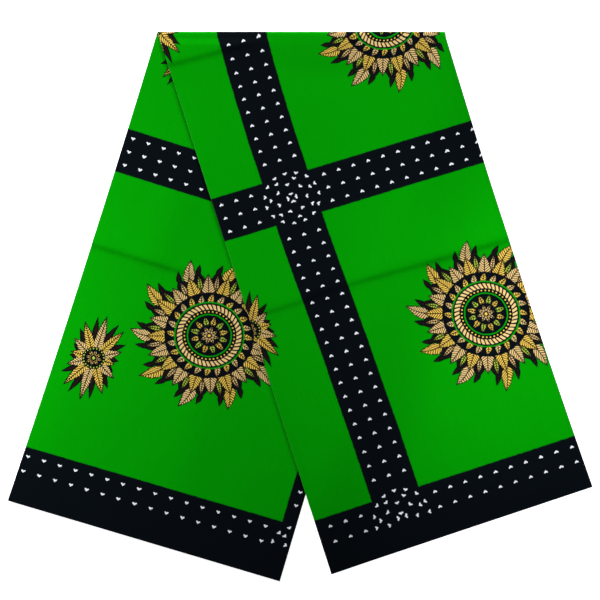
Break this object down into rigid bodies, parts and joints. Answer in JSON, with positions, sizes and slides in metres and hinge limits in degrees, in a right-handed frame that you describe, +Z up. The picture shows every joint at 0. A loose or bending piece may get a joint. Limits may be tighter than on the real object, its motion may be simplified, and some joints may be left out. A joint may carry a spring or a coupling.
{
  "type": "folded wax print fabric",
  "caption": "Length of cotton wax print folded into a flat strip, turned back over itself and laid flat as an inverted V.",
  "frame": {"origin": "middle of the folded cloth in plan, on the surface that it lies on", "axes": "+Z up, +Y towards the straight turn that joins the legs, +X to the right, where the over leg ends"},
  "size_m": [0.6466, 0.6076, 0.0123],
  "materials": {
    "printed_face": "cotton wax print, green ground with navy bands and white hearts, flat with a faint sheen",
    "printed_layers": "edges of folded cotton wax print, in the ground green and the band navy"
  },
  "bodies": {
    "root": {"over_leg_face": "printed_face", "turn_face": "printed_face", "under_leg_face": "printed_face", "over_leg_layers": "printed_layers", "turn_layers": "printed_layers", "under_leg_layers": "printed_layers"}
  },
  "joints": []
}
